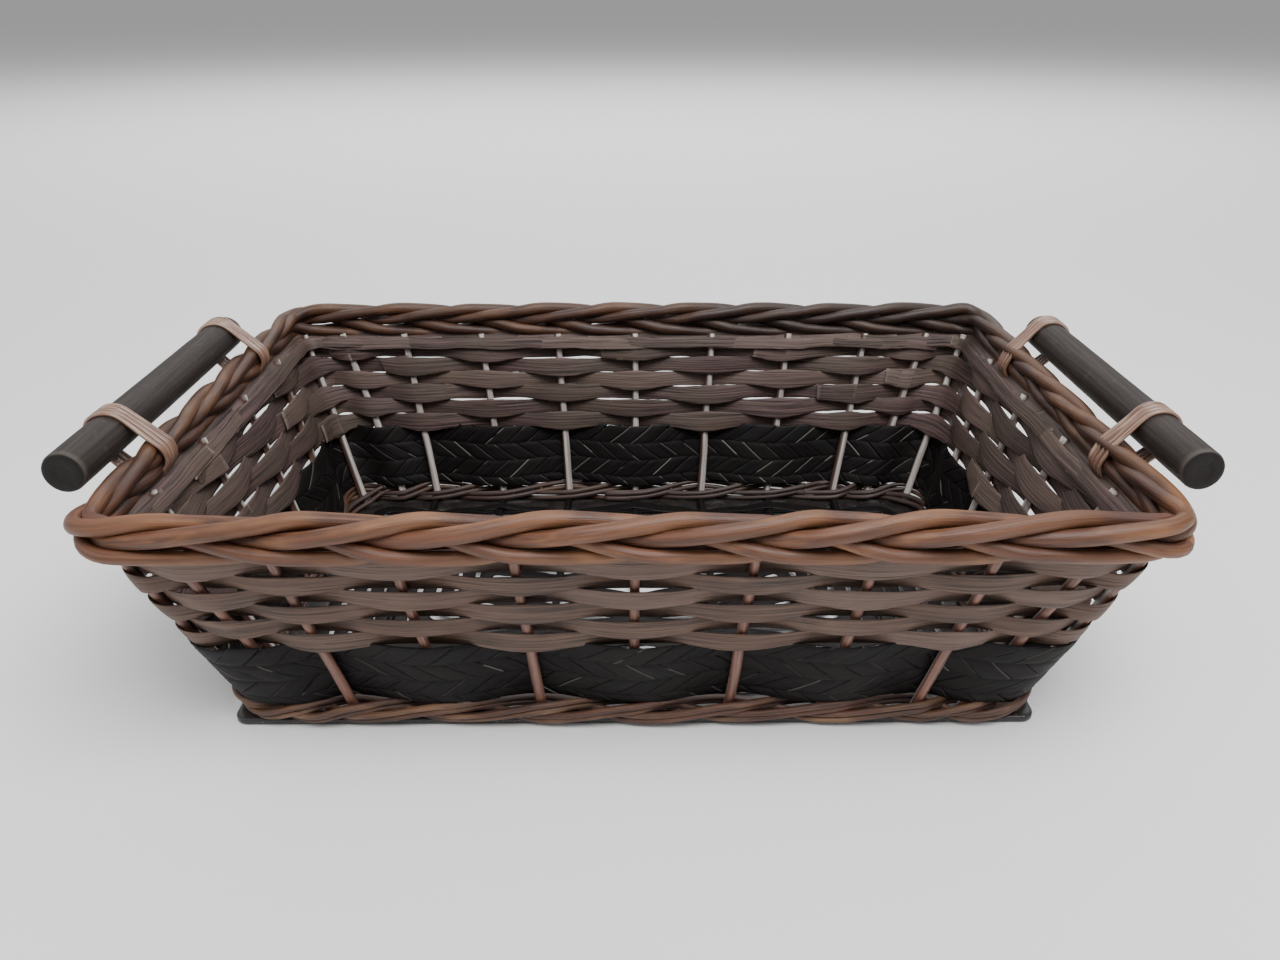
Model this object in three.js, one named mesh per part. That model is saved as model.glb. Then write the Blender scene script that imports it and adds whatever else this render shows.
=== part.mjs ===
// Rectangular log basket: thirty upright stakes on a flat base frame, woven with splints, a plaited
// band and a waled foot, finished with a braided border and two round handles lashed to it.
// Millimetres. +X runs along the length, +Z is up, and the origin is the centre of the underside.
import * as THREE from "three";

// Overall sizes.
const RIM_LENGTH = 500; // over the border, along X
const RIM_WIDTH = 330; // over the border, along Y
const BASE_LENGTH = 400; // between the stake lines at the foot
const BASE_WIDTH = 236;
const BASE_CORNER = 24; // corner radius of the stake line at the foot
const RIM_CORNER = 12; // corner radius of the stake line at the top
const GAP = 0.3; // clearance left between neighbouring pieces

// Flat base frame under the stakes.
const FRAME_HEIGHT = 4.2;
const FRAME_BEYOND_STAKES = 5; // outer edge, outside the stake line
const FRAME_BAND = 21; // width of the flat ring
const FRAME_CORNER = 7; // outer corner radius

// Upright stakes.
const LONG_SIDE_STAKES = 9;
const SHORT_SIDE_STAKES = 4;
const STAKES = 2 * (LONG_SIDE_STAKES + SHORT_SIDE_STAKES) + 4;
const STAKE_RADIUS = 2.75;
const LONG_END_GAP_FOOT = 24; // from the last stake of a long side to the next one in
const LONG_END_GAP_TOP = 42;
const SHORT_END_GAP_FOOT = 25; // from the corner's bend to the last stake of a short side
const SHORT_END_GAP_TOP = 42;
const LONG_END_INSET_FOOT = 10; // from the corner's bend to the last stake of a long side
const LONG_END_INSET_TOP = 17; // the same at the top

// Waled foot of three rods.
const WALE_RODS = 3;
const WALE_ROD_RADIUS = 2.7;
const WALE_SLACK = 1.25; // room above and below a rod where it passes another

// Plaited band and splint rows, from the foot upwards.
const BAND_HEIGHT = 37;
const BAND_THICKNESS = 2.2;
const ROWS = 6;
const ROW_PITCH = 9.5;
const ROW_GAP = 0.8; // between one row and the next
const SPLINT_THICKNESS = 1.6;
const WEAVE_SLACK = 1; // room between a stake and what bends round it

// Braided border. Each rod swings up and down once in a repeat, and in and out twice, and the swings
// are the least that let the rods pass one another.
const BORDER_RODS = 5;
const BORDER_ROD_RADIUS = 3.2;
const BRAID_REPEATS = 6;
const BRAID_STEPS = 24; // sections in one repeat
const BRAID_RISE = 2.6 * (BORDER_ROD_RADIUS + GAP / 2); // how far a rod swings up and down
const BRAID_DEPTH = 1.85 * (BORDER_ROD_RADIUS + GAP / 2); // how far a rod swings in and out
const BORDER_CORNER = 18; // corner radius of the braid's middle line
const BORDER_OVERHANG = 9; // from the stake line out to the middle of the braid
const BORDER_LIFT = 2; // from the top of the weave to the braid

// Floor.
const FLOOR_STICKS = 7;
const FLOOR_STICK_RADIUS = 2.5;
const FLOOR_SPLINT_WIDTH = 8.4;
const FLOOR_SPLINT_THICKNESS = 1.2;
const FLOOR_PITCH = 10.8;
const FLOOR_CORNER = 7; // how far a turn of the floor weaver cuts its corners
const FLOOR_DIP_RUN = 20; // from a turn's corner to the first stick that it can dip under

// Handles and their lashings.
const HANDLE_RADIUS = 10;
const HANDLE_CHAMFER = 1.5;
const HANDLE_SIDES = 24;
const HANDLE_FRONT_END = 120; // from the middle of the basket to the end that stands out
const HANDLE_BACK_END = 84;
const HANDLE_LEAN = 42; // degrees above level, from the braid's middle to the handle's
const LASHING_PLACE = 71; // from the middle of the basket, along Y
const LASHING_TURNS = 4;
const LASHING_STRAND = 3;
const LASHING_THICKNESS = 1.4;
const LASHING_STEP = 3.3; // from one turn to the next
const LASHING_SIDES = 12; // sections in one turn

// How finely bends and round sections are cut.
const BEND_PLACES = [25, 45, 65]; // degrees round a bend of the stake line, with its stake in the middle
const FRAME_BEND_STEPS = 4;
const STAKE_SIDES = 8;
const ROD_SIDES = 6;

// Heights, from the underside up.
const STAKE_FOOT = FRAME_HEIGHT + GAP;
const WALE_RISE = WALE_ROD_RADIUS + WALE_SLACK;
const WALE_MIDDLE = STAKE_FOOT + WALE_RISE + WALE_ROD_RADIUS;
const BAND_FOOT = WALE_MIDDLE + WALE_RISE + WALE_ROD_RADIUS + 2 * GAP;
const ROWS_FOOT = BAND_FOOT + BAND_HEIGHT + 2 * GAP;
const STAKE_TOP = ROWS_FOOT + ROWS * ROW_PITCH;
const BRAID_HALF_HEIGHT = BRAID_RISE + BORDER_ROD_RADIUS;
const BORDER_MIDDLE = STAKE_TOP + BORDER_LIFT + BRAID_HALF_HEIGHT;
const FLOOR_MIDDLE = STAKE_FOOT + FLOOR_STICK_RADIUS;

// Widths that follow from the ones above.
const SPLINT_HEIGHT = ROW_PITCH - ROW_GAP;
const BRAID_HALF_DEPTH = BRAID_DEPTH + BORDER_ROD_RADIUS;
const BORDER_HALF = [RIM_LENGTH / 2 - BRAID_HALF_DEPTH, RIM_WIDTH / 2 - BRAID_HALF_DEPTH];
const TOP_HALF = BORDER_HALF.map((half) => half - BORDER_OVERHANG);
const FOOT_HALF = [BASE_LENGTH / 2, BASE_WIDTH / 2];

// How far out each way a last stake of a long side leans, for each millimetre up. A level strand meets
// a leaning stake along a slant, so it keeps clear of more than the stake's radius.
const END_LEAN_X = TOP_HALF[0] - RIM_CORNER - LONG_END_INSET_TOP - (FOOT_HALF[0] - BASE_CORNER - LONG_END_INSET_FOOT);
const END_LEAN_Y = TOP_HALF[1] - FOOT_HALF[1];
const LEAN = Math.hypot(END_LEAN_X, END_LEAN_Y) / (STAKE_TOP - STAKE_FOOT);
const STAKE_REACH = STAKE_RADIUS * Math.hypot(1, LEAN) + WEAVE_SLACK;

// The furthest that the braid reaches from its middle, which is where its swings up and out add up most.
const SWING_SHARE = Math.min(1, (4 * BRAID_DEPTH ** 2 + BRAID_RISE ** 2) / (8 * BRAID_DEPTH ** 2));
const SWING_OUT = 2 * BRAID_DEPTH * Math.sqrt(SWING_SHARE * (1 - SWING_SHARE));
const SWING_UP = BRAID_RISE * Math.sqrt(SWING_SHARE);
const BRAID_REACH = Math.hypot(SWING_OUT, SWING_UP) + BORDER_ROD_RADIUS;
const UP = new THREE.Vector3(0, 0, 1);

const { lerp } = THREE.MathUtils;

function finish(colour, roughness) {
  return new THREE.MeshStandardMaterial({ color: colour, roughness, metalness: 0 });
}

const FINISHES = {
  stake: finish(0x7a4f44, 0.55),
  border: finish(0x7d5448, 0.5),
  splint: finish(0x6a554b, 0.75),
  black: finish(0x22201f, 0.5),
  handle: finish(0x34312f, 0.6),
  cane: finish(0xa07a6c, 0.4),
};

// The stake line at a height: half sizes and corner radius of its rounded rectangle.
function stakeLine(z) {
  const rise = (z - STAKE_FOOT) / (STAKE_TOP - STAKE_FOOT);
  return {
    rise,
    halfX: lerp(FOOT_HALF[0], TOP_HALF[0], rise),
    halfY: lerp(FOOT_HALF[1], TOP_HALF[1], rise),
    corner: lerp(BASE_CORNER, RIM_CORNER, rise),
  };
}

// Places along one side, from -1 to 1 of its straight part, for a count of stakes.
function spread(count, straight, endGap) {
  const inner = count - 2;
  const reach = straight - endGap;
  const places = [];
  for (let i = 0; i < inner; i += 1) places.push(lerp(-reach, reach, i / (inner - 1)));
  return [-straight, ...places, straight];
}

// Every place round the stake line at a height, clockwise from the back left corner when seen from
// above. Each is a point, its outward direction, and the number of its stake. The places on both sides
// of a corner stake have its number.
function stations(z) {
  const { rise, halfX, halfY, corner } = stakeLine(z);
  const straightX = halfX - corner;
  const straightY = halfY - corner;
  const longEnd = lerp(LONG_END_GAP_FOOT, LONG_END_GAP_TOP, rise);
  const longInset = lerp(LONG_END_INSET_FOOT, LONG_END_INSET_TOP, rise);
  const shortReach = straightY - lerp(SHORT_END_GAP_FOOT, SHORT_END_GAP_TOP, rise);
  const long = spread(LONG_SIDE_STAKES, straightX - longInset, longEnd);
  const short = [];
  for (let i = 0; i < SHORT_SIDE_STAKES; i += 1) {
    short.push(lerp(-shortReach, shortReach, i / (SHORT_SIDE_STAKES - 1)));
  }
  const list = [];
  const bend = (signX, signY, turn) => {
    // The corner stake stands in the middle of the bend, with a place on each side of it.
    for (const degrees of BEND_PLACES) {
      const angle = THREE.MathUtils.degToRad(turn ? 90 - degrees : degrees);
      const out = new THREE.Vector3(signX * Math.sin(angle), signY * Math.cos(angle), 0);
      const point = new THREE.Vector3(signX * straightX, signY * straightY, z).addScaledVector(out, corner);
      list.push({ point, out, stake: degrees === BEND_PLACES[1], inBend: true });
    }
  };
  const side = (places, at, out) => {
    for (const place of places) list.push({ point: at(place), out, stake: true });
  };
  const lengthwise = new THREE.Vector3(1, 0, 0);
  const widthwise = new THREE.Vector3(0, 1, 0);
  bend(-1, 1, true);
  side(long, (x) => new THREE.Vector3(x, halfY, z), widthwise);
  bend(1, 1, false);
  side(short.map((y) => -y), (y) => new THREE.Vector3(halfX, y, z), lengthwise);
  bend(1, -1, true);
  side(long.map((x) => -x), (x) => new THREE.Vector3(x, -halfY, z), widthwise.clone().negate());
  bend(-1, -1, false);
  side(short, (y) => new THREE.Vector3(-halfX, y, z), lengthwise.clone().negate());
  // The list starts on a bend, so its first place moves to the end, where stake numbers are highest.
  list.push(list.shift());
  let number = -1;
  for (const [i, place] of list.entries()) {
    const endsBend = !place.stake && list[i - 1]?.stake && list[i - 1].inBend;
    if (place.stake) number += 1;
    place.number = place.stake || endsBend ? number : (number + 1) % STAKES;
  }
  return list;
}

// The stations at a height, with one halfway between every two stakes.
function halfwayStations(z) {
  const places = stations(z);
  return places.flatMap((place, i) => {
    const next = places[(i + 1) % places.length];
    if (place.number === next.number) return [place];
    const point = place.point.clone().add(next.point).multiplyScalar(0.5);
    return [place, { point, out: place.out, stake: false, number: place.number + 0.5 }];
  });
}

// A closed surface through rings of points: a loop joins its last ring to its first, and a run of
// rings is capped at both ends.
function skin(rings, loop) {
  const sides = rings[0].length;
  const positions = rings.flat().flatMap((point) => point.toArray());
  const index = [];
  const last = loop ? rings.length : rings.length - 1;
  for (let i = 0; i < last; i += 1) {
    const here = i * sides;
    const next = ((i + 1) % rings.length) * sides;
    for (let j = 0; j < sides; j += 1) {
      const k = (j + 1) % sides;
      index.push(here + j, next + j, next + k, here + j, next + k, here + k);
    }
  }
  if (!loop) {
    const end = (rings.length - 1) * sides;
    for (let j = 1; j < sides - 1; j += 1) {
      index.push(0, j, j + 1);
      index.push(end, end + j + 1, end + j);
    }
  }
  if (enclosed(positions, index) < 0) {
    for (let i = 0; i < index.length; i += 3) [index[i + 1], index[i + 2]] = [index[i + 2], index[i + 1]];
  }
  const geometry = new THREE.BufferGeometry();
  geometry.setAttribute("position", new THREE.Float32BufferAttribute(positions, 3));
  geometry.setIndex(index);
  geometry.computeVertexNormals();
  return geometry;
}

// Signed volume inside a triangle mesh: negative when its faces point inwards.
function enclosed(positions, index) {
  const corner = (i) => new THREE.Vector3().fromArray(positions, 3 * index[i]);
  let volume = 0;
  for (let i = 0; i < index.length; i += 3) {
    volume += corner(i).dot(corner(i + 1).cross(corner(i + 2))) / 6;
  }
  return volume;
}

// A round section about a point, in the plane of two directions.
function roundSection(centre, first, second, radius, sides) {
  const ring = [];
  for (let i = 0; i < sides; i += 1) {
    const angle = (2 * Math.PI * (i + 0.5)) / sides;
    const point = centre.clone().addScaledVector(first, radius * Math.cos(angle));
    ring.push(point.addScaledVector(second, radius * Math.sin(angle)));
  }
  return ring;
}

const basket = new THREE.Group();

function add(name, geometry, material) {
  const mesh = new THREE.Mesh(geometry, material.clone());
  mesh.name = name;
  basket.add(mesh);
}

// A rounded rectangle as places with outward directions, with a number of steps in each bend.
function outline(halfX, halfY, corner, bendSteps) {
  const places = [];
  for (const [signX, signY, turn] of [[-1, 1, 1], [1, 1, 0], [1, -1, 1], [-1, -1, 0]]) {
    for (let i = 0; i <= bendSteps; i += 1) {
      const share = turn ? 1 - i / bendSteps : i / bendSteps;
      const angle = (share * Math.PI) / 2;
      const out = new THREE.Vector3(signX * Math.sin(angle), signY * Math.cos(angle), 0);
      const point = new THREE.Vector3(signX * (halfX - corner), signY * (halfY - corner), 0);
      places.push({ point: point.addScaledVector(out, corner), out });
    }
  }
  return places;
}

function addBaseFrame() {
  const halfX = FOOT_HALF[0] + FRAME_BEYOND_STAKES;
  const halfY = FOOT_HALF[1] + FRAME_BEYOND_STAKES;
  const inner = outline(halfX - FRAME_BAND, halfY - FRAME_BAND, FRAME_CORNER, FRAME_BEND_STEPS);
  const outer = outline(halfX, halfY, FRAME_CORNER, FRAME_BEND_STEPS);
  const rings = outer.map((place, i) => [
    place.point,
    place.point.clone().setZ(FRAME_HEIGHT),
    inner[i].point.clone().setZ(FRAME_HEIGHT),
    inner[i].point,
  ]);
  add("base_frame", skin(rings, true), FINISHES.black);
}

// The name of each stake, in the order of their numbers.
function stakeNames() {
  const names = ["stake_corner_back_left"];
  for (let i = 1; i <= LONG_SIDE_STAKES; i += 1) names.push(`stake_back_${i}`);
  names.push("stake_corner_back_right");
  for (let i = 1; i <= SHORT_SIDE_STAKES; i += 1) names.push(`stake_right_${i}`);
  names.push("stake_corner_front_right");
  for (let i = LONG_SIDE_STAKES; i >= 1; i -= 1) names.push(`stake_front_${i}`);
  names.push("stake_corner_front_left");
  for (let i = SHORT_SIDE_STAKES; i >= 1; i -= 1) names.push(`stake_left_${i}`);
  return names;
}

function addStakes() {
  const feet = stations(STAKE_FOOT).filter((place) => place.stake);
  const tops = stations(STAKE_TOP).filter((place) => place.stake);
  stakeNames().forEach((name, i) => {
    const side = new THREE.Vector3().crossVectors(feet[i].out, UP);
    const ends = [feet[i], tops[i]];
    const rings = ends.map((end) => roundSection(end.point, end.out, side, STAKE_RADIUS, STAKE_SIDES));
    add(name, skin(rings, false), FINISHES.stake);
  });
}

// A flat strip woven once round the basket, from one height to another. With parity 1 it passes
// outside the even stakes, and with -1 outside the odd ones. A strip too wide to bend sharply inside a
// corner stake goes outside all four of them.
function wovenStrip(low, high, thickness, parity, outsideCorners) {
  const reach = parity * (STAKE_REACH + thickness / 2);
  const lower = stations(low);
  const upper = stations(high);
  const rings = lower.map((place, i) => {
    const shift = place.number % 2 === 0 || (outsideCorners && place.inBend) ? reach : -reach;
    const at = (end, offset) => end.point.clone().addScaledVector(end.out, shift + offset);
    return [
      at(place, thickness / 2),
      at(upper[i], thickness / 2),
      at(upper[i], -thickness / 2),
      at(place, -thickness / 2),
    ];
  });
  return skin(rings, true);
}

function addWeave() {
  const band = wovenStrip(BAND_FOOT, BAND_FOOT + BAND_HEIGHT, BAND_THICKNESS, 1, true);
  add("plaited_band", band, FINISHES.black);
  for (let row = 0; row < ROWS; row += 1) {
    const low = ROWS_FOOT + row * ROW_PITCH;
    const parity = row % 2 === 0 ? -1 : 1;
    const strip = wovenStrip(low, low + SPLINT_HEIGHT, SPLINT_THICKNESS, parity, false);
    add(`splint_row_${row + 1}`, strip, FINISHES.splint);
  }
}

// A waling rod passes outside two stakes, going down, and inside the third. Each place on it is read off
// the stake line at the rod's own height there, because the stakes lean.
function addWale() {
  const reach = STAKE_REACH + WALE_ROD_RADIUS;
  const levels = [-1, 0, 1].map((level) => halfwayStations(WALE_MIDDLE + level * WALE_RISE));
  const atStake = [[-reach, 0], [reach, 1], [reach, -1]];
  const between = [[0, 1], [reach, 0], [0, -1]];
  for (let rod = 0; rod < WALE_RODS; rod += 1) {
    const rings = levels[0].map(({ number }, i) => {
      const state = (Math.floor(number) + rod) % WALE_RODS;
      const [out, level] = (number % 1 === 0 ? atStake : between)[state];
      const place = levels[level + 1][i];
      const centre = place.point.clone().addScaledVector(place.out, out);
      return roundSection(centre, place.out, UP, WALE_ROD_RADIUS, ROD_SIDES);
    });
    add(`foot_wale_rod_${rod + 1}`, skin(rings, true), FINISHES.border);
  }
}

// A place on a rounded rectangle at a share of its length, from the middle of the back side.
function placeAlong(halfX, halfY, corner, share) {
  const straightX = halfX - corner;
  const straightY = halfY - corner;
  const arc = (Math.PI / 2) * corner;
  const runs = [straightX, arc, 2 * straightY, arc, 2 * straightX, arc, 2 * straightY, arc, straightX];
  let rest = share * runs.reduce((sum, run) => sum + run, 0);
  let run = 0;
  while (run < runs.length - 1 && rest > runs[run]) {
    rest -= runs[run];
    run += 1;
  }
  const quarter = Math.floor((run + 1) / 2);
  const inBend = run % 2 === 1;
  const heading = ((inBend ? quarter - 1 : quarter) * Math.PI) / 2 + (inBend ? rest / corner : 0);
  const out = new THREE.Vector3(Math.sin(heading), Math.cos(heading), 0);
  const centres = [[1, 1], [1, -1], [-1, -1], [-1, 1]];
  if (inBend) {
    const [signX, signY] = centres[quarter - 1];
    const centre = new THREE.Vector3(signX * straightX, signY * straightY, 0);
    return { point: centre.addScaledVector(out, corner), out };
  }
  const starts = [[0, halfY], [halfX, straightY], [straightX, -halfY], [-halfX, -straightY], [-straightX, halfY]];
  const forward = new THREE.Vector3(Math.cos(heading), -Math.sin(heading), 0);
  const [x, y] = starts[quarter];
  return { point: new THREE.Vector3(x, y, 0).addScaledVector(forward, rest), out };
}

function addBorder() {
  const sections = BRAID_REPEATS * BRAID_STEPS;
  for (let rod = 0; rod < BORDER_RODS; rod += 1) {
    const rings = [];
    for (let i = 0; i < sections; i += 1) {
      const place = placeAlong(BORDER_HALF[0], BORDER_HALF[1], BORDER_CORNER, i / sections);
      const turn = 2 * Math.PI * (i / BRAID_STEPS + rod / BORDER_RODS);
      const centre = place.point.clone().addScaledVector(place.out, BRAID_DEPTH * Math.sin(2 * turn));
      centre.z = BORDER_MIDDLE + BRAID_RISE * Math.sin(turn);
      rings.push(roundSection(centre, place.out, UP, BORDER_ROD_RADIUS, ROD_SIDES));
    }
    add(`border_rod_${rod + 1}`, skin(rings, true), FINISHES.border);
  }
}

// The places of the floor sticks follow the long sides' stakes, between the two last ones.
function floorStickPlaces() {
  const straight = FOOT_HALF[0] - BASE_CORNER - LONG_END_INSET_FOOT;
  return spread(LONG_SIDE_STAKES, straight, LONG_END_GAP_FOOT).slice(1, 1 + FLOOR_STICKS);
}

function addFloorSticks() {
  const insideWale = STAKE_REACH + 2 * WALE_ROD_RADIUS + GAP;
  const end = FOOT_HALF[1] - insideWale;
  const across = new THREE.Vector3(1, 0, 0);
  floorStickPlaces().forEach((x, i) => {
    const ends = [-end, end].map((y) => new THREE.Vector3(x, y, FLOOR_MIDDLE));
    const rings = ends.map((point) => roundSection(point, across, UP, FLOOR_STICK_RADIUS, STAKE_SIDES));
    add(`floor_stick_${i + 1}`, skin(rings, false), FINISHES.black);
  });
}

// One long splint wound inwards in rectangular turns, over and under the floor sticks.
function addFloorWeaver() {
  const reach = FLOOR_STICK_RADIUS + FLOOR_SPLINT_THICKNESS / 2 + GAP;
  const inFrame = FRAME_BAND - FRAME_BEYOND_STAKES + FLOOR_SPLINT_WIDTH / 2 + 2 * GAP;
  const first = [FOOT_HALF[0] - inFrame, FOOT_HALF[1] - inFrame];
  const turns = 1 + Math.floor((first[1] - FLOOR_CORNER - GAP) / FLOOR_PITCH);
  const sticks = floorStickPlaces();
  const places = [];
  const level = FLOOR_MIDDLE + reach;
  const place = (x, y, z, outX, outY) => {
    places.push({ point: new THREE.Vector3(x, y, z), out: new THREE.Vector3(outX, outY, 0).normalize() });
  };
  for (let turn = 0; turn < turns; turn += 1) {
    const inset = turn * FLOOR_PITCH;
    const [x, y] = [first[0] - inset, first[1] - inset];
    const crossed = sticks.filter((stick) => Math.abs(stick) < x - FLOOR_CORNER);
    const weave = (stick, flip) => {
      const under = (sticks.indexOf(stick) + turn + flip) % 2 === 1;
      return under && Math.abs(stick) < x - FLOOR_CORNER - FLOOR_DIP_RUN ? level - 2 * reach : level;
    };
    // Back run, right end, front run, then the left end, which steps in to the next turn.
    place(-x + FLOOR_CORNER, y, level, -1, 3);
    for (const stick of crossed) place(stick, y, weave(stick, 0), 0, 1);
    place(x - FLOOR_CORNER, y, level, 1, 3);
    place(x, y - FLOOR_CORNER, level, 3, 1);
    place(x, -y + FLOOR_CORNER, level, 3, -1);
    place(x - FLOOR_CORNER, -y, level, 1, -3);
    for (const stick of [...crossed].reverse()) place(stick, -y, weave(stick, 1), 0, -1);
    place(-x + FLOOR_CORNER, -y, level, -1, -3);
    place(-x, -y + FLOOR_CORNER, level, -3, -1);
    if (turn < turns - 1) place(-x, y - FLOOR_CORNER - FLOOR_PITCH, level, -3, 1);
  }
  const rings = places.map(({ point, out }) => {
    const at = (side, up) => point.clone().addScaledVector(out, side).addScaledVector(UP, up);
    const half = FLOOR_SPLINT_WIDTH / 2;
    const thick = FLOOR_SPLINT_THICKNESS / 2;
    return [at(half, thick), at(-half, thick), at(-half, -thick), at(half, -thick)];
  });
  add("floor_weaver", skin(rings, false), FINISHES.black);
}

// The handle lies against the braid's outer shoulder, a little off the direction of its furthest reach.
const HANDLE_LEAN_ANGLE = THREE.MathUtils.degToRad(HANDLE_LEAN);
const HANDLE_REACH = BRAID_REACH + HANDLE_RADIUS;
const HANDLE_X = BORDER_HALF[0] + HANDLE_REACH * Math.cos(HANDLE_LEAN_ANGLE);
const HANDLE_Z = BORDER_MIDDLE + HANDLE_REACH * Math.sin(HANDLE_LEAN_ANGLE);

function addHandle(side, name) {
  const flat = HANDLE_RADIUS - HANDLE_CHAMFER;
  const front = -HANDLE_FRONT_END;
  const back = HANDLE_BACK_END;
  const profile = [
    [0, front],
    [flat, front],
    [HANDLE_RADIUS, front + HANDLE_CHAMFER],
    [HANDLE_RADIUS, back - HANDLE_CHAMFER],
    [flat, back],
    [0, back],
  ].map(([r, y]) => new THREE.Vector2(r, y));
  const geometry = new THREE.LatheGeometry(profile, HANDLE_SIDES);
  geometry.translate(side * HANDLE_X, 0, HANDLE_Z);
  add(`handle_${name}`, geometry, FINISHES.handle);
}

// Turns of split cane round the braid and the handle together, side by side along Y.
function addLashing(side, y, name) {
  const inside = LASHING_THICKNESS / 2 + GAP;
  const half = Math.PI / LASHING_SIDES;
  const snug = (radius) => (radius + inside) / Math.cos(half);
  const hubs = [
    { x: BORDER_HALF[0], z: BORDER_MIDDLE, radius: snug(BRAID_REACH) },
    { x: HANDLE_X, z: HANDLE_Z, radius: snug(HANDLE_RADIUS) },
  ];
  const sections = LASHING_TURNS * LASHING_SIDES;
  const rings = [];
  for (let i = 0; i < sections; i += 1) {
    // The first half of a turn goes round the handle, the second round the braid.
    const angle = (2 * Math.PI * (i + 0.5)) / LASHING_SIDES;
    const hub = hubs[i % LASHING_SIDES < LASHING_SIDES / 2 ? 1 : 0];
    const heading = angle + HANDLE_LEAN_ANGLE - Math.PI / 2;
    const out = new THREE.Vector3(side * Math.cos(heading), 0, Math.sin(heading));
    const step = (i / LASHING_SIDES - LASHING_TURNS / 2) * LASHING_STEP;
    const centre = new THREE.Vector3(side * hub.x, y + step, hub.z).addScaledVector(out, hub.radius);
    const at = (width, thick) => {
      const point = centre.clone().addScaledVector(out, (thick * LASHING_THICKNESS) / 2);
      point.y += (width * LASHING_STRAND) / 2;
      return point;
    };
    rings.push([at(1, 1), at(-1, 1), at(-1, -1), at(1, -1)]);
  }
  add(`lashing_${name}`, skin(rings, false), FINISHES.cane);
}

addBaseFrame();
addFloorSticks();
addFloorWeaver();
addStakes();
addWale();
addWeave();
addBorder();
for (const [side, name] of [[-1, "left"], [1, "right"]]) {
  addHandle(side, name);
  addLashing(side, -LASHING_PLACE, `${name}_front`);
  addLashing(side, LASHING_PLACE, `${name}_back`);
}

export default basket;
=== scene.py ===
# The looks of the wicker basket: every woven strand, stake, rod and lashing as a mesh of its own in the
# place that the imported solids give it. Lengths in this file are millimetres until a mesh is made.
import math
import random

import bpy
import numpy as np
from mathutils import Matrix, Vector


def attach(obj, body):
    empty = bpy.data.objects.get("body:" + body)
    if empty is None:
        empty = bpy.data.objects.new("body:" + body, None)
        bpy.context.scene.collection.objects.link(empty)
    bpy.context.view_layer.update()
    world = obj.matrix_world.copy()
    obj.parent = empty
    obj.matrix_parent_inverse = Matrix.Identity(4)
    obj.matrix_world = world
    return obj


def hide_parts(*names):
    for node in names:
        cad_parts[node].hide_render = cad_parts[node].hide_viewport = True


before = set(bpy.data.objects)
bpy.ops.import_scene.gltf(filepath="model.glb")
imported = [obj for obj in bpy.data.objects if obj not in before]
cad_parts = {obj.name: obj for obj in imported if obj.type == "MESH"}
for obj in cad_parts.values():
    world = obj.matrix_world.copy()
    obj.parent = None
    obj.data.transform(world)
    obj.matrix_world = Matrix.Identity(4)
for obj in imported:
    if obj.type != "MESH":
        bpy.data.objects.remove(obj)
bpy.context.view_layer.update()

METRE = 1000.0
LONG_STAKES = 9
SHORT_STAKES = 4
ROWS = 6
PLAIT_STRANDS = 7
TABLE_STEPS = 24  # samples of the wall between two stakes

STAKE_RADIUS = 2.62
STAKE_CLEAR = 2.6  # how far out from a stake's middle the weave passes it
STAKE_HIDDEN = 6.0  # how far a stake goes on up inside the border
SPLINT_HALF = 4.95  # half width of a splint, away from the stakes
SPLINT_THICK = 0.72  # half thickness
TAIL_STEPS = 40
BAND_THICK = 0.38  # half thickness of one of the plaited splints
BAND_REACH = 1.6
WALE_RADIUS = 2.7
WALE_DROP = 2.0  # the foot's splits settle this far below the middle of its rods
BORDER_CORNER = 18.0  # corner radius of the border's middle line
PLAIT_RADIUS = 3.45
PLAIT_RISE = 7.9
PLAIT_DEPTH = 5.2
PLAIT_STEPS = 24  # samples of the plait from one crossing to the next
FLOOR_WIDTH = 8.6
FLOOR_PITCH = 10.8
FLOOR_THICK = 0.55
FLOOR_MIDDLE_HALF = 7.3  # least half width of the innermost turn of the floor
FLOOR_DIP = 13.0  # how wide the floor's bend over a stick is
FLOOR_DIP_ROOM = 27.0
FLOOR_STICK_RADIUS = 2.45
BASE_BAND = 21.0  # width of the flat base frame
BASE_CORNER = 7.0
HANDLE_SIDES = 40
CANE_TURNS = 4
CANE_PITCH = 3.35
CANE_HALF = 1.48

# Where each nose of the border's plait lies along the front, from the right.
FRONT_NOSES = (236, 166.8, 109.4, 60, 2.3, -55, -107, -159, -224)

# Out along a handle's end face from its middle, over the rubbed edge, and along the dowel: how far from
# the middle on a dowel of radius 10, and how far in from the end.
HANDLE_END = [(0.0, 0.5), (2.2, 0.5), (3.9, 0.45), (4.3, 0.25), (4.8, 0.0)]
HANDLE_END += [(7.6, 0.0), (8.9, 0.08), (9.7, 0.55), (10.0, 1.5)]


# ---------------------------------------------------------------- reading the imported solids


def node_points(name):
    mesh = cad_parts[name].data
    flat = np.empty(len(mesh.vertices) * 3)
    mesh.vertices.foreach_get("co", flat)
    return flat.reshape(-1, 3) * METRE


def node_box(*names):
    points = np.concatenate([node_points(name) for name in names])
    return points.min(axis=0), points.max(axis=0)


def node_names(prefix):
    return sorted(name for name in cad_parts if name.startswith(prefix))


def stake_names():
    names = ["stake_corner_back_left"]
    names += [f"stake_back_{i}" for i in range(1, LONG_STAKES + 1)]
    names += ["stake_corner_back_right"]
    names += [f"stake_right_{i}" for i in range(1, SHORT_STAKES + 1)]
    names += ["stake_corner_front_right"]
    names += [f"stake_front_{i}" for i in range(LONG_STAKES, 0, -1)]
    names += ["stake_corner_front_left"]
    names += [f"stake_left_{i}" for i in range(SHORT_STAKES, 0, -1)]
    return names


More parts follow.
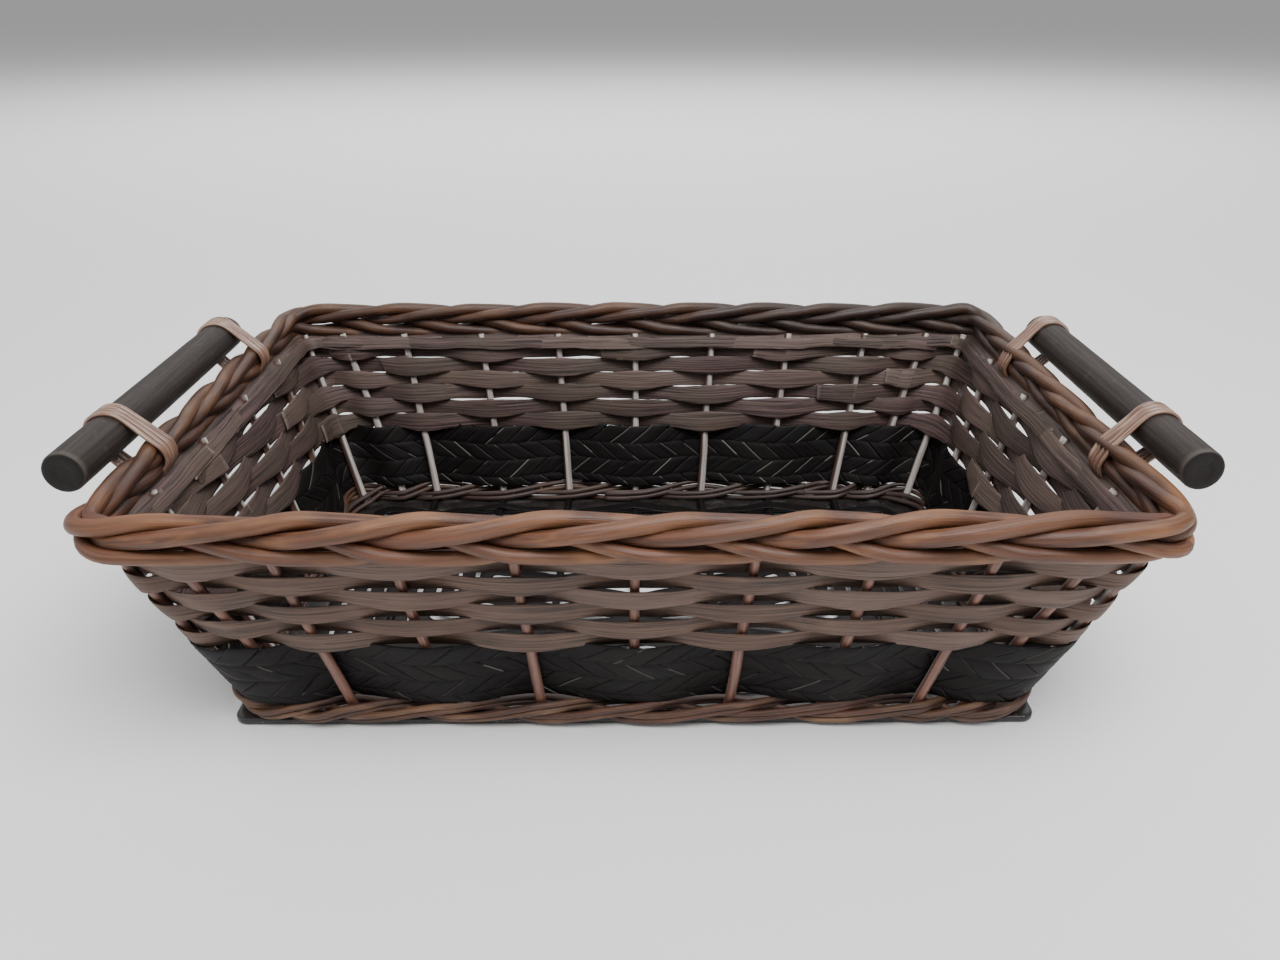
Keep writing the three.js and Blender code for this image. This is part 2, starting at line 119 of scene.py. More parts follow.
def stake_ends(name):
    points = node_points(name)
    low, high = points[:, 2].min(), points[:, 2].max()
    foot = points[points[:, 2] < low + 0.5].mean(axis=0)
    top = points[points[:, 2] > high - 0.5].mean(axis=0)
    return foot, top


STAKES = stake_names()
COUNT = len(STAKES)
FEET = np.array([stake_ends(name)[0] for name in STAKES])
TOPS = np.array([stake_ends(name)[1] for name in STAKES])
FOOT_Z = FEET[0][2]
TOP_Z = TOPS[0][2]
CORNERS = [0, LONG_STAKES + 1, LONG_STAKES + SHORT_STAKES + 2, 2 * LONG_STAKES + SHORT_STAKES + 3]


# ---------------------------------------------------------------- lines on the basket


def along_line(line):
    """How far along a line each of its points is."""
    return np.concatenate([[0], np.cumsum(np.linalg.norm(np.diff(line, axis=0), axis=1))])


def rounded_line(half_x, half_y, corner, steps=24):
    """Points and outward directions round a rounded rectangle, clockwise from the back left bend."""
    points, outs = [], []
    for sign_x, sign_y, start in ((-1, 1, 180), (1, 1, 90), (1, -1, 0), (-1, -1, -90)):
        for i in range(steps + 1):
            angle = math.radians(start - 90 * i / steps)
            out = np.array([math.cos(angle), math.sin(angle), 0.0])
            middle = np.array([sign_x * (half_x - corner), sign_y * (half_y - corner), 0.0])
            points.append(middle + out * corner)
            outs.append(out)
    points.append(points[0])
    outs.append(outs[0])
    points, outs = np.array(points), np.array(outs)
    return points, outs, along_line(points)


def read_line(line, places):
    points, outs, length = line
    wrapped = np.mod(places, length[-1])
    point = np.stack([np.interp(wrapped, length, points[:, k]) for k in range(3)], axis=-1)
    out = np.stack([np.interp(wrapped, length, outs[:, k]) for k in range(3)], axis=-1)
    return point, out / np.linalg.norm(out, axis=-1, keepdims=True)


def stake_ring(stakes):
    """The stake line at one end of the stakes, as a table of points from stake to stake."""
    half_x = stakes[CORNERS[1] + 1][0]
    half_y = stakes[1][1]
    corner = (half_x - stakes[CORNERS[1]][0]) / (1 - math.sqrt(0.5))
    line = rounded_line(half_x, half_y, corner)
    dense = np.linspace(0, line[2][-1], 6000)
    points = read_line(line, dense)[0]
    places = []
    for stake in stakes:
        places.append(dense[np.argmin(np.linalg.norm(points[:, :2] - stake[:2], axis=1))])
    places = np.array(places + [places[0] + line[2][-1]])
    for i in range(1, len(places)):
        while places[i] < places[i - 1]:
            places[i] += line[2][-1]
    numbers = np.arange(COUNT * TABLE_STEPS + 1) / TABLE_STEPS
    return read_line(line, np.interp(numbers, np.arange(COUNT + 1), places))


FOOT_RING = stake_ring(FEET)
TOP_RING = stake_ring(TOPS)
NUMBERS = np.arange(COUNT * TABLE_STEPS + 1) / TABLE_STEPS


def read_ring(ring, numbers):
    wrapped = np.mod(numbers, COUNT)
    return np.stack([np.interp(wrapped, NUMBERS, ring[:, k]) for k in range(3)], axis=-1)


def wall(numbers, heights, out):
    """Places on the wall: by stake number along it, height, and distance out from the stake line."""
    numbers, heights, out = np.broadcast_arrays(numbers, heights, out)
    rise = ((heights - FOOT_Z) / (TOP_Z - FOOT_Z))[..., None]
    point = read_ring(FOOT_RING[0], numbers) * (1 - rise) + read_ring(TOP_RING[0], numbers) * rise
    away = read_ring(FOOT_RING[1], numbers) * (1 - rise) + read_ring(TOP_RING[1], numbers) * rise
    away /= np.linalg.norm(away, axis=-1, keepdims=True)
    point = point + away * out[..., None]
    point[..., 2] = heights
    return point


def wall_run(numbers, height):
    """Length along the stake line at a height, from the first of a run of stake numbers."""
    return along_line(wall(numbers, height, 0.0))


def ripple(rng, places, spacing, amount):
    """A smooth uneven value along a line, from -amount to amount."""
    first, last = min(places), max(places)
    knots = max(4, int((last - first) / spacing) + 3)
    values = [rng.uniform(-amount, amount) for _ in range(knots)]
    at = (np.asarray(places) - first) / max(last - first, 1e-6) * (knots - 1)
    index = np.clip(np.floor(at).astype(int), 0, knots - 2)
    share = at - index
    share = share * share * (3 - 2 * share)
    values = np.array(values)
    return values[index] * (1 - share) + values[index + 1] * share


def closed_ripple(rng, places, last, count, amount):
    """An uneven value along a line that comes back to where it began at last."""
    values = [rng.uniform(-amount, amount) for _ in range(count)]
    values[-1] = values[0]
    return np.interp(places, np.linspace(0, last, count), values)


def read_start(line, x, y):
    """How far along a line its nearest point to a place is."""
    points, _, length = line
    dense = np.linspace(0, length[-1], 8000)
    at = read_line(line, dense)[0]
    return dense[np.argmin(np.hypot(at[:, 0] - x, at[:, 1] - y))]


def smooth(low, high, value):
    share = np.clip((value - low) / (high - low), 0, 1)
    return share * share * (3 - 2 * share)


# ---------------------------------------------------------------- meshes


class Piece:
    """A mesh made of strands. Each point keeps its place on its own strand, pulled straight, for the
    grain: along it, across it and through it."""

    def __init__(self):
        self.points = []
        self.faces = []
        self.straight = []
        self.shade = []
        self.count = 0

    def skin(self, rings, straight, shade, loop=False):
        """A closed surface through rings of points. shade is four numbers for the whole strand, or for
        each ring: its own tone; how worn, which on the border's noses is a painted highlight instead;
        how far inside the basket, painted as shade on the foot's rods and as a pale strip on the
        stakes, partly bare wood and partly painted highlight; and how near an edge, painted as a
        highlight on the band and as shade on the stakes."""
        steps, sides = rings.shape[:2]
        shade = np.asarray(shade, float)
        if shade.ndim == 1:
            shade = np.broadcast_to(shade, (steps, sides, 4))
        if shade.ndim == 2:
            shade = np.broadcast_to(shade[:, None, :], (steps, sides, 4))
        self.points.append(rings.reshape(-1, 3))
        self.straight.append(straight.reshape(-1, 3))
        self.shade.append(shade.reshape(-1, 4))
        start = self.count
        last = steps if loop else steps - 1
        for i in range(last):
            here = start + i * sides
            after = start + ((i + 1) % steps) * sides
            for j in range(sides):
                k = (j + 1) % sides
                self.faces.append((here + j, here + k, after + k, after + j))
        if not loop:
            self.faces.append(tuple(start + j for j in reversed(range(sides))))
            end = start + (steps - 1) * sides
            self.faces.append(tuple(end + j for j in range(sides)))
        self.count += steps * sides

    def finish(self, name, finish, slot, *nodes):
        mesh = bpy.data.meshes.new(name)
        points = np.concatenate(self.points) / METRE
        mesh.from_pydata(points.tolist(), [], self.faces)
        straight = mesh.attributes.new("straight", "FLOAT_VECTOR", "POINT")
        straight.data.foreach_set("vector", (np.concatenate(self.straight) / METRE).ravel())
        shade = np.concatenate(self.shade)
        for k, key in enumerate(("tone", "wear_and_highlight", "inside", "edge")):
            own = mesh.attributes.new(key, "FLOAT", "POINT")
            own.data.foreach_set("value", np.ascontiguousarray(shade[:, k]))
        mesh.polygons.foreach_set("use_smooth", [True] * len(mesh.polygons))
        face_out(mesh)
        mesh.materials.append(finish)
        piece = bpy.data.objects.new(name, mesh)
        bpy.context.scene.collection.objects.link(piece)
        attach(piece, "root")
        if nodes:
            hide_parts(*nodes)
        return piece


def face_out(mesh):
    """Turns the faces outwards when the surface as a whole is inside out."""
    mesh.calc_loop_triangles()
    corners = np.empty(len(mesh.loop_triangles) * 3, np.int64)
    mesh.loop_triangles.foreach_get("vertices", corners)
    flat = np.empty(len(mesh.vertices) * 3)
    mesh.vertices.foreach_get("co", flat)
    a, b, c = flat.reshape(-1, 3)[corners.reshape(-1, 3)].transpose(1, 0, 2)
    if np.einsum("ij,ij->i", a, np.cross(b, c)).sum() < 0:
        mesh.flip_normals()


def round_section(sides, power=1.0):
    """A section of half size 1: round at power 1, and nearer a rectangle below it."""
    ring = []
    for i in range(sides):
        angle = 2 * math.pi * (i + 0.5) / sides
        across, through = math.cos(angle), math.sin(angle)
        squarer = [math.copysign(abs(value) ** power, value) for value in (across, through)]
        ring.append(squarer)
    return np.array(ring)


ROUND = round_section(12)
FLAT = round_section(14, 0.62)


def frames(line, ups, loop=False):
    """Directions across a line: towards its up side, and square to both."""
    if loop:
        ahead = np.roll(line, -1, axis=0) - np.roll(line, 1, axis=0)
    else:
        ahead = np.gradient(line, axis=0)
    ahead /= np.linalg.norm(ahead, axis=1, keepdims=True)
    up = ups - ahead * np.einsum("ij,ij->i", ups, ahead)[:, None]
    up /= np.linalg.norm(up, axis=1, keepdims=True)
    return up, np.cross(ahead, up)


def rod(piece, line, ups, radius, shade, loop=False, section=ROUND, flat=1.0, twist=0.0):
    """A strand along a line, with a half width for each point and a flatness through it."""
    line = np.asarray(line, float)
    ups = np.broadcast_to(np.asarray(ups, float), line.shape)
    radius = np.broadcast_to(radius, len(line))
    flat = np.broadcast_to(flat, len(line))
    up, side = frames(line, ups, loop)
    turn = np.broadcast_to(twist, len(line))[:, None]
    first = up * np.cos(turn) + side * np.sin(turn)
    second = side * np.cos(turn) - up * np.sin(turn)
    across = section[None, :, 0] * radius[:, None]
    through = section[None, :, 1] * (radius * flat)[:, None]
    rings = line[:, None, :] + first[:, None, :] * across[..., None]
    rings = rings + second[:, None, :] * through[..., None]
    run = np.broadcast_to(along_line(line)[:, None], across.shape)
    piece.skin(rings, np.stack([run, across, through], axis=-1), shade, loop)


def strand_shade(count, own_tone):
    """The shade of a strand with nothing but its own tone, for each of its rings."""
    shade = np.zeros((count, 4))
    shade[:, 0] = own_tone
    return shade


# ---------------------------------------------------------------- shader maths


class Link:
    """A value on its way through a material. Sums and products of values add their own nodes."""

    def __init__(self, finish, socket):
        self.finish = finish
        self.socket = socket

    def maths(self, operation, *values):
        inputs = {i: value for i, value in enumerate(values)}
        return self.finish.node("ShaderNodeMath", {"operation": operation}, inputs)

    def __add__(self, other):
        return self.maths("ADD", self, other)

    __radd__ = __add__

    def __sub__(self, other):
        return self.maths("SUBTRACT", self, other)

    def __rsub__(self, other):
        return self.maths("SUBTRACT", other, self)

    def __mul__(self, other):
        return self.maths("MULTIPLY", self, other)

    __rmul__ = __mul__

    def __pow__(self, other):
        return self.maths("POWER", self, other)

    def above(self, low, high):
        """0 below low, 1 above high, and smooth between."""
        settings = {"interpolation_type": "SMOOTHSTEP"}
        inputs = {"Value": self, "From Min": low, "From Max": high, "To Min": 0.0, "To Max": 1.0}
        return self.finish.node("ShaderNodeMapRange", settings, inputs, "Result")


class Finish:
    """A material and its nodes."""

    def __init__(self, name, **constants):
        self.material = bpy.data.materials.new(name)
        self.material.use_nodes = True
        self.tree = self.material.node_tree
        self.tree.nodes.clear()
        self.shader = self.tree.nodes.new("ShaderNodeBsdfPrincipled")
        output = self.tree.nodes.new("ShaderNodeOutputMaterial")
        self.tree.links.new(self.shader.outputs["BSDF"], output.inputs["Surface"])
        for key, value in constants.items():
            self.shader.inputs[key.replace("_", " ")].default_value = value

    def node(self, kind, settings=None, inputs=None, output=0):
        node = self.tree.nodes.new(kind)
        for key, value in (settings or {}).items():
            setattr(node, key, value)
        for key, value in (inputs or {}).items():
            self.feed(node.inputs[key], value)
        return Link(self, node.outputs[output])

    def feed(self, socket, value):
        if isinstance(value, Link):
            self.tree.links.new(value.socket, socket)
        else:
            socket.default_value = value

    def own(self, name):
        return self.node("ShaderNodeAttribute", {"attribute_name": name}, None, "Fac")

    def straight(self):
        return self.node("ShaderNodeAttribute", {"attribute_name": "straight"}, None, "Vector")

    def parts(self, vector):
        node = self.tree.nodes.new("ShaderNodeSeparateXYZ")
        self.feed(node.inputs[0], vector)
        return [Link(self, socket) for socket in node.outputs]

    def grain(self, scale, detail=3.0, seed=0.0):
        """Streaks along a strand: scale is how many there are in a metre along, across and through it.
        Each strand has its own, from its tone."""
        places = {0: self.straight(), 1: scale}
        stretched = self.node("ShaderNodeVectorMath", {"operation": "MULTIPLY"}, places)
        shifts = {"X": self.own("tone") * 91.7, "Y": seed, "Z": self.own("tone") * 33.1}
        shift = self.node("ShaderNodeCombineXYZ", None, shifts)
        moved = self.node("ShaderNodeVectorMath", {"operation": "ADD"}, {0: stretched, 1: shift})
        return self.noise(moved, 1.0, detail)

    def noise(self, vector, scale, detail=3.0):
        inputs = {"Vector": vector, "Scale": scale, "Detail": detail, "Roughness": 0.6}
        return self.node("ShaderNodeTexNoise", None, inputs, "Fac")

    def place(self):
        return self.node("ShaderNodeTexCoord", None, None, "Object")

    def mix(self, share, first, second, blend="MIX"):
        node = self.tree.nodes.new("ShaderNodeMix")
        node.data_type = "RGBA"
        node.blend_type = blend
        self.feed(node.inputs[0], share)
        self.feed(node.inputs[6], first)
        self.feed(node.inputs[7], second)
        return Link(self, node.outputs[2])

    def paint(self, colour, roughness, height, depth, bump=1.0):
        self.feed(self.shader.inputs["Base Color"], colour)
        self.feed(self.shader.inputs["Roughness"], roughness)
        inputs = {"Height": height, "Distance": depth / METRE, "Strength": bump}
        self.feed(self.shader.inputs["Normal"], self.node("ShaderNodeBump", None, inputs, "Normal"))
        return self.material


def tone(code):
    """A colour as linear light, from its usual two hex digits each of red, green and blue."""
    values = [int(code[i : i + 2], 16) / 255 for i in (0, 2, 4)]
    return [v / 12.92 if v <= 0.04045 else ((v + 0.055) / 1.055) ** 2.4 for v in values] + [1.0]


# ---------------------------------------------------------------- materials


def willow_finish(name, dark, middle, light, roughness):
    """Stained willow rod: long streaks, blotches of stain, darker skin left in patches, and painted
    shade towards the back of the basket and inside it.
    """
    finish = Finish(name, Coat_Weight=0.12, Coat_Roughness=0.35)
    streaks = finish.grain((28.0, 620.0, 620.0), 4.0)
    blotches = finish.grain((22.0, 90.0, 90.0), 3.0, 4.0)
    fibres = finish.grain((60.0, 2300.0, 2300.0), 2.0, 9.0)
    colour = finish.mix(streaks.above(0.3, 0.7), tone(dark), tone(middle))
    colour = finish.mix(blotches.above(0.48, 0.72) * 0.75, colour, tone(light))
    # Paler where a strand is worn, and on the border's noses as a painted highlight.
    colour = finish.mix(finish.own("wear_and_highlight"), colour, tone(light))
    place = finish.place()
    stain = finish.noise(place, 9.0, 2.0).above(0.5, 0.72)
    colour = finish.mix(stain * 0.45, colour, tone(dark))
    x, y, _ = finish.parts(place)
    # Painted shade: darker towards the back of the basket, and most at its back right.
    behind = y.above(-0.145, -0.1) * 0.42 + y.above(0.05, 0.14) * (x.above(-0.06, 0.12) * 0.32 + 0.1)
    colour = finish.mix(behind, colour, tone("211815"))
    # Painted shade on the parts that lie inside the basket.
    colour = finish.mix(finish.own("inside") * 0.8, colour, tone("3a2c29"))
    rough = streaks * 0.25 + (roughness - 0.1)
    return finish.paint(colour, rough, fibres * 0.6 + streaks, 0.35)


def splint_finish():
    """Flat split wood: grey brown outside, redder and darker inside, with open fissures along it."""
    finish = Finish("splint_wood", Coat_Weight=0.04, Coat_Roughness=0.5)
    through = finish.parts(finish.straight())[2]
    streaks = finish.grain((14.0, 760.0, 80.0), 5.0)
    fissures = finish.grain((20.0, 1900.0, 150.0), 3.0, 5.0)
    blotches = finish.grain((30.0, 70.0, 70.0), 2.0, 8.0)
    outer = finish.mix(streaks.above(0.3, 0.7), tone("33241e"), tone("664e40"))
    outer = finish.mix(blotches.above(0.5, 0.75) * 0.6, outer, tone("70594b"))
    inner = finish.mix(streaks.above(0.3, 0.7), tone("291d1d"), tone("5f4845"))
    inner = finish.mix(blotches.above(0.52, 0.75) * 0.6, inner, tone("5a4a38"))
    patches = finish.noise(finish.place(), 14.0, 2.0).above(0.42, 0.6)
    inner = finish.mix(patches * 0.55, inner, tone("4a3f33"))
    outer = finish.mix(patches * 0.4, outer, tone("5c4132"))
    colour = finish.mix(through.above(-0.0002, 0.0002), inner, outer)
    colour = finish.mix(finish.own("tone").above(0.55, 1.0) * 0.35, colour, tone("7a665c"))
    colour = finish.mix(fissures.above(0.60, 0.74) * 0.7, colour, tone("2b2120"))
    colour = finish.mix(finish.own("wear_and_highlight") * 0.8, colour, tone("b7a79b"))
    rough = 0.72 - streaks * 0.18
    return finish.paint(colour, rough, streaks * 1.3 - fissures.above(0.58, 0.72) * 0.8, 0.55)


def black_splint_finish(name="black_splint", sheen=0.5):
    """Black stained flat splint with a half gloss; some of its edges are painted pale as a highlight.
    """
    finish = Finish(name, Specular_IOR_Level=0.14)
    streaks = finish.grain((30.0, 700.0, 200.0), 4.0)
    clouds = finish.grain((45.0, 60.0, 60.0), 3.0, 6.0)
    colour = finish.mix(streaks.above(0.3, 0.7), tone("0d0b0b"), tone("1a1616"))
    colour = finish.mix(clouds.above(0.5, 0.75) * 0.5, colour, tone("222126"))
    colour = finish.mix(finish.own("tone").above(0.6, 1.0) * 0.4, colour, tone("1d1d18"))
    colour = finish.mix(finish.own("edge"), colour, tone("7e7872"))
    rough = streaks * 0.3 + (sheen - 0.12)
    return finish.paint(colour, rough, streaks, 0.3)


def stake_finish():
    """Round willow upright: reddish where it was stained from outside, pale and dull on the inside,
    partly bare wood and partly painted highlight, with a dark strip of painted shade beside it.
    """
    finish = Finish("stake_willow", Coat_Weight=0.15, Coat_Roughness=0.3)
    streaks = finish.grain((24.0, 800.0, 800.0), 4.0)
    colour = finish.mix(streaks.above(0.3, 0.7), tone("54382f"), tone("875f50"))
    # The pale inner strip is partly bare wood and partly painted highlight; the dark edge strip is
    # painted shade.
    pale_highlight = finish.own("inside")
    pale = finish.mix(streaks.above(0.3, 0.7), tone("8f8883"), tone("cdc8c4"))
    colour = finish.mix(pale_highlight, colour, pale)
    colour = finish.mix(finish.own("edge"), colour, tone("2a2221"))
    return finish.paint(colour, 0.55 - streaks * 0.2, streaks, 0.25)


def handle_finish():
    """Black stained dowel: fine dull grain, dusty in patches, rubbed grey at the ends' edges."""
    finish = Finish("handle_wood", Specular_IOR_Level=0.25)
    streaks = finish.grain((14.0, 520.0, 520.0), 5.0)
    fine = finish.grain((90.0, 2600.0, 2600.0), 2.0, 3.0)
    dust = finish.noise(finish.place(), 160.0, 3.0)
    colour = finish.mix(streaks.above(0.3, 0.72), tone("2a2422"), tone("3d3633"))
    colour = finish.mix(dust.above(0.55, 0.8) * 0.3, colour, tone("5a524e"))
    colour = finish.mix(finish.own("wear_and_highlight"), colour, tone("6f6861"))
    colour = finish.mix(finish.own("inside"), colour, tone("15110f"))
    return finish.paint(colour, 0.5 + fine * 0.2, fine * 0.5 + streaks, 0.22)


def cane_finish():
    """Glossy split cane, brown in the cracks and pale where it shines."""
    finish = Finish("cane", Coat_Weight=0.7, Coat_Roughness=0.18)
    streaks = finish.grain((40.0, 1400.0, 1400.0), 3.0)
    blotches = finish.grain((45.0, 80.0, 80.0), 2.0, 3.0)
    colour = finish.mix(streaks.above(0.3, 0.7), tone("664636"), tone("9c7a68"))
    colour = finish.mix(blotches.above(0.5, 0.7) * 0.6, colour, tone("b89a86"))
    # Painted shade where a strand is marked inside the basket; the lashings mark none.
    colour = finish.mix(finish.own("inside") * 0.7, colour, tone("4e362e"))
    return finish.paint(colour, 0.32 + streaks * 0.15, streaks, 0.2)


def base_finish():
    """Black painted frame with a dull gloss and a few pale chips."""
    finish = Finish("base_wood", Coat_Weight=0.3, Coat_Roughness=0.25)
    grain = finish.noise(finish.place(), 120.0, 4.0)
    chips = finish.noise(finish.place(), 900.0, 1.0).above(0.72, 0.76)
    colour = finish.mix(grain.above(0.3, 0.7), tone("141110"), tone("25201e"))
    colour = finish.mix(chips * 0.8, colour, tone("98928c"))
    return finish.paint(colour, 0.35 + grain * 0.25, grain, 0.3)


WILLOW = willow_finish("border_willow", "381b0f", "69402c", "94653f", 0.5)
WALE = willow_finish("foot_willow", "351d14", "63402f", "8f6c4c", 0.55)
SPLINT = splint_finish()
BLACK = black_splint_finish()
FLOOR_BLACK = black_splint_finish("floor_splint", 0.36)
STAKE = stake_finish()
HANDLE = handle_finish()
CANE = cane_finish()
BASE = base_finish()


# ---------------------------------------------------------------- stakes


def make_stakes():
    heights = np.linspace(0, 1, 34)
    for i, name in enumerate(STAKES):
        rng = random.Random(100 + i)
        foot, top = FEET[i], TOPS[i]
        out = read_ring(TOP_RING[1], np.array([float(i)]))[0]
        top = top + (top - foot) / (top[2] - foot[2]) * STAKE_HIDDEN
        line = foot[None, :] * (1 - heights[:, None]) + top[None, :] * heights[:, None]
        side = np.cross(out, (0, 0, 1))
        bow = ripple(rng, heights, 0.4, 0.5) * np.sin(np.pi * heights)
        line = line + side[None, :] * bow[:, None]
        taper = STAKE_RADIUS * (1.04 - 0.14 * heights) + ripple(rng, heights, 0.09, 0.1)
        shade = np.zeros((len(heights), len(ROUND), 4))
        shade[..., 0] = rng.random()
        # The split face looks in and to one side. It is painted pale, partly as bare wood and partly as
        # a painted highlight, and a dark strip of painted shade runs along it.
        inward = -ROUND[None, :, 0]
        slant = inward * 0.88 - ROUND[None, :, 1] * 0.48
        shade[..., 2] = smooth(0.35, 0.6, slant) * (0.75 + 0.25 * rng.random())
        shade[..., 3] = smooth(0.1, 0.4, inward) * (1 - smooth(0.25, 0.5, slant)) * 0.85
        piece = Piece()
        rod(piece, line, out, taper, shade)
        piece.finish(name + "_rod", STAKE, "stake_willow", name)


# ---------------------------------------------------------------- splint rows


def woven_out(numbers, side, reach):
    return reach * side * np.cos(np.pi * numbers)


def make_splint(piece, rng, start, end, height, side, own_tone, nudge):
    """One length of splint, woven from one stake number to another at a height. Its first end is tucked
    in behind the last length's, and nudge moves its two ends up or down."""
    numbers = np.linspace(start, end, max(8, int((end - start) / 0.05)))
    reach = STAKE_CLEAR + SPLINT_THICK + 0.35
    swell = 0.5 + 0.5 * np.cos(2 * np.pi * numbers)  # 1 at each stake, 0 halfway
    out = woven_out(numbers, side, reach) + ripple(rng, numbers, 1.1, 0.35)
    outside = (np.cos(np.pi * numbers) * side > 0) * swell
    run = wall_run(numbers, height)
    from_start = 1 - smooth(0, 14, run)
    from_end = 1 - smooth(0, 14, run[-1] - run)
    out = out - 1.7 * from_start
    middle = height + ripple(rng, numbers, 1.3, 0.9)
    middle = middle + nudge[0] * from_start + nudge[1] * from_end
    short_wall = smooth(0.2, 1.0, np.abs(read_ring(TOP_RING[1], numbers)[:, 0])) * 0.9
    tall = SPLINT_HALF + 1.7 * swell - 0.45 * outside + short_wall + ripple(rng, numbers, 0.35, 0.4)
    roll = ripple(rng, numbers, 1.0, 0.10)
    ragged = ripple(rng, numbers, 0.08, 0.16)
    across = FLAT[None, :, 0] * tall[:, None]
    across = across + (np.abs(FLAT[None, :, 0]) > 0.7) * ragged[:, None]
    crown = 1 - 0.35 * FLAT[None, :, 0] ** 2
    through = FLAT[None, :, 1] * SPLINT_THICK * crown + 0 * across
    slant = FLAT[None, :, 0] * rng.uniform(-1.2, 1.2)
    place = numbers[:, None] + 0 * across
    ends = np.zeros_like(numbers)
    ends[0], ends[-1] = 1, 1
    place = place + ends[:, None] * slant / 50.0
    shade = strand_shade(len(numbers), own_tone)
    shade[:, 1] = ends * 0.3
    rings = wall(place, middle[:, None] + across, out[:, None] + through + roll[:, None] * across)
    straight = np.stack([np.broadcast_to(run[:, None], across.shape), across, through], axis=-1)
    piece.skin(rings, straight, shade)


def make_tail(piece, rng, start, length, height, out, half, lean):
    """A cut end of splint that lies along the inside of the basket."""
    numbers = np.linspace(start, start + length, TAIL_STEPS)
    share = np.linspace(0, 1, TAIL_STEPS)
    middle = height + rng.uniform(-2.0, 2.0) * (share - 0.5) + ripple(rng, share, 0.3, 0.7)
    out = out - rng.uniform(0.2, 1.5) * np.sin(np.pi * share) + ripple(rng, share, 0.4, 0.5)
    across = FLAT[None, :, 0] * (half + ripple(rng, share, 0.08, 0.25))[:, None]
    through = FLAT[None, :, 1] * 0.6 + 0 * across
    cut = (share == 0) * 1.0 - (share == 1)
    place = numbers[:, None] + cut[:, None] * FLAT[None, :, 0] * rng.uniform(-0.05, 0.05)
    rings = wall(place, middle[:, None] + across, out[:, None] + through + lean * across)
    run = np.broadcast_to(wall_run(numbers, height)[:, None], across.shape)
    shade = strand_shade(TAIL_STEPS, rng.random())
    shade[:, 1] = 0.45 * (np.abs(cut) > 0)
    piece.skin(rings, np.stack([run, across, through], axis=-1), shade)


def make_tails(piece, rng, height):
    """Cut ends over the top row, and behind them others that lean out under the border."""
    for up, out, low, high, lean in ((10.0, 2.6, 4.6, 5.4, 1.0), (6.3, -3.4, 2.6, 4.4, 0.2)):
        start = 0.2
        while start < COUNT - 0.6:
            length = rng.uniform(1.1, 2.3)
            make_tail(piece, rng, start, length, height + up, out, rng.uniform(low, high), lean)
            start += length * rng.uniform(0.45, 0.8)


def make_rows():
    for row in range(ROWS):
        name = f"splint_row_{row + 1}"
        rng = random.Random(10 + row)
        low, high = node_box(name)
        height = (low[2] + high[2]) / 2
        side = -1 if row % 2 == 0 else 1
        piece = Piece()
        inner = [stake for stake in range(COUNT) if math.cos(math.pi * stake) * side < 0]
        joints = sorted(rng.sample(inner, 7 if row == ROWS - 1 else 3))
        for k, start in enumerate(joints):
            end = joints[(k + 1) % len(joints)]
            if end <= start:
                end += COUNT
            # A new length starts over the last one's end, on the inside of the basket.
            nudge = (rng.uniform(-0.6, 1.6), rng.uniform(-0.6, 0.6))
            own_tone = rng.random()
            begin = start - rng.uniform(0.42, 0.5)
            make_splint(piece, rng, begin, end + 0.03, height, side, own_tone, nudge)
        if row == ROWS - 1:
            make_tails(piece, rng, height)
        piece.finish(name + "_splints", SPLINT, "splint", name)


# ---------------------------------------------------------------- plaited band


def band_out(numbers, reach):
    """Like the rows' weave, but outside all four corner stakes."""
    out = woven_out(numbers, 1, reach)
    for corner in CORNERS[2:]:
        near = np.abs(np.mod(numbers - corner + COUNT / 2, COUNT) - COUNT / 2)
        out = np.where(near < 1, np.maximum(out, reach), out)
    return out


